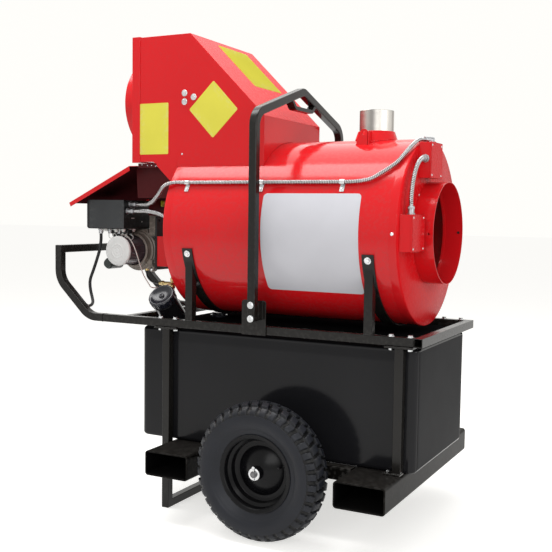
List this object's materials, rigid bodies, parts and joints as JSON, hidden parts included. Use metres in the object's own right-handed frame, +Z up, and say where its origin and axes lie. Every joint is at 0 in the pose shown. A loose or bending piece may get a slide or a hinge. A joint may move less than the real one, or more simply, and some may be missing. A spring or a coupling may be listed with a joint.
{
  "type": "indirect diesel heater",
  "caption": "Wheeled indirect diesel heater: horizontal drum with flue and warm air collar, fan housing, burner, fuel tank, tube frame with fork pockets and lifting hoop.",
  "frame": {"origin": "on the ground, under the middle of the heater's box", "axes": "+X from the handle to the warm air outlet, -Y the side with the control box, +Z up"},
  "size_m": [1.292, 0.838, 1.5073],
  "materials": {
    "frame_black": "satin grey-black powder coat",
    "pocket_black": "satin grey-black powder coat",
    "zinc": "bright zinc plate",
    "tyre_rubber": "matt black rubber",
    "rim_black": "satin black paint",
    "tank_plastic": "moulded black plastic, soft gloss",
    "cap_plastic": "moulded black plastic",
    "brass": "plain brass",
    "hose_rubber": "black rubber",
    "red_paint": "glossy red paint",
    "red_shade": "glossy red paint",
    "heat_steel": "heat-stained steel",
    "stainless": "dull stainless sheet",
    "plated_steel": "plated steel",
    "motor_grey": "grey paint",
    "fan_grey": "dark grey paint",
    "box_black": "black paint",
    "cover_grey": "dark grey paint",
    "casting_brown": "brown-grey painted casting",
    "wheel_alloy": "bare metal",
    "flange_black": "black paint",
    "cap_grey": "pale grey moulding",
    "pump_alloy": "cast alloy",
    "conduit_metal": "ribbed flexible metal",
    "fitting_zinc": "cast zinc"
  },
  "bodies": {
    "frame": {"side_rails": "frame_black", "cross_rails": "frame_black", "handle": "frame_black", "left_saddle": "frame_black", "right_saddle": "frame_black", "hoop_feet": "frame_black", "lifting_hoop": "frame_black", "lifting_eye": "frame_black", "stand_frame": "frame_black", "right_posts": "frame_black", "frame_bolts": "zinc", "left_fork_pocket": "pocket_black", "right_fork_pocket": "pocket_black", "lower_rails": "pocket_black", "axle": "zinc", "axle_fasteners": "zinc", "fuel_tank": "tank_plastic", "filler_neck": "tank_plastic", "fuel_gauge": "cap_plastic", "fuel_fittings": "brass", "fuel_lines": "hose_rubber", "drum_shell": "red_paint", "burner_end_plate": "red_shade", "outlet_end_plate": "red_paint", "outlet_collar": "red_paint", "combustion_chamber": "heat_steel", "chamber_supports": "heat_steel", "flue_stack": "stainless", "flue_base": "red_paint", "lifting_tab": "red_shade", "fan_housing": "red_paint", "inlet_panel": "red_paint", "inlet_collar": "red_shade", "inlet_guard": "plated_steel", "fan_bracket": "plated_steel", "fan_motor": "motor_grey", "burner_hood": "red_shade", "control_box": "box_black", "control_cover": "cover_grey", "burner_casting": "casting_brown", "blast_tube": "heat_steel", "burner_flange": "flange_black", "burner_mount": "red_paint", "burner_motor": "casting_brown", "motor_cap": "cap_grey", "capacitor": "box_black", "fuel_pump": "pump_alloy", "conduit_main": "conduit_metal", "short_conduits": "conduit_metal", "conduit_fittings": "fitting_zinc", "conduit_clips": "zinc", "junction_boxes": "red_paint", "power_cable": "hose_rubber"},
    "near_wheel": {"near_tyre": "tyre_rubber", "near_rim": "rim_black"},
    "far_wheel": {"far_tyre": "tyre_rubber", "far_rim": "rim_black"},
    "fan": {"fan_blades": "fan_grey"},
    "blower": {"blower_wheel": "wheel_alloy"},
    "filler_cap": {"filler_cap": "cap_plastic"}
  },
  "joints": [
    {"name": "near_wheel_spin", "type": "hinge", "parent": "frame", "child": "near_wheel", "pos_m": [0.204, -0.361, 0.2032], "axis": [0, 1, 0], "continuous": true},
    {"name": "far_wheel_spin", "type": "hinge", "parent": "frame", "child": "far_wheel", "pos_m": [0.204, 0.361, 0.2032], "axis": [0, 1, 0], "continuous": true},
    {"name": "fan_spin", "type": "hinge", "parent": "frame", "child": "fan", "pos_m": [-0.3, 0, 1.307], "axis": [1, 0, 0], "continuous": true},
    {"name": "blower_spin", "type": "hinge", "parent": "frame", "child": "blower", "pos_m": [-0.459, 0, 0.8115], "axis": [0, 1, 0], "continuous": true},
    {"name": "filler_cap_turn", "type": "hinge", "parent": "frame", "child": "filler_cap", "pos_m": [-0.25, -0.118, 0.5823], "axis": [0, -0.7071, 0.7071], "range_deg": [0, 120]}
  ]
}
